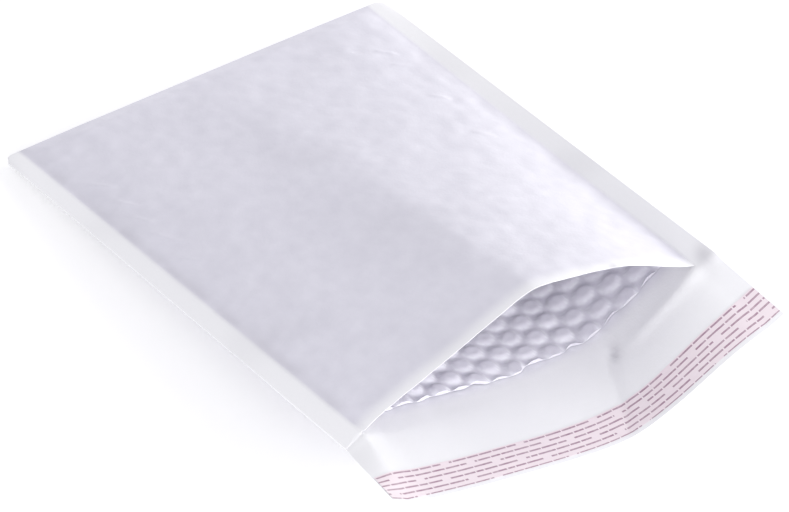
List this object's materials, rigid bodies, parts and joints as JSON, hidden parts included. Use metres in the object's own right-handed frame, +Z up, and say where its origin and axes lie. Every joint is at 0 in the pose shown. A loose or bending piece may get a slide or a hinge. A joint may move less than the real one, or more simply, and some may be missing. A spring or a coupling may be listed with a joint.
{
  "type": "padded envelope",
  "caption": "Padded paper mailing envelope lined with bubble film, lying on its back with its mouth gaping open and its self-seal flap laid out.",
  "frame": {"origin": "centre of the bounding box at its bottom, on the surface that the envelope lies on", "axes": "+Z up; +Y from the mouth and flap to the closed end; +X to the right seen from the mouth"},
  "size_m": [0.22, 0.3248, 0.0606],
  "materials": {
    "white_paper": "matt white paper with a faint lavender cast, mottled by the bubbles behind it",
    "bubble_film": "milky translucent bubble film, soft sheen",
    "clear_glue": "tacky, slightly glossy self-seal glue",
    "pink_release_paper": "pale pink siliconised release paper with rows of plain red-brown dashes"
  },
  "bodies": {
    "root": {"paper_envelope": "white_paper", "bubble_lining": "bubble_film", "adhesive_strip": "clear_glue", "release_liner": "pink_release_paper"}
  },
  "joints": []
}
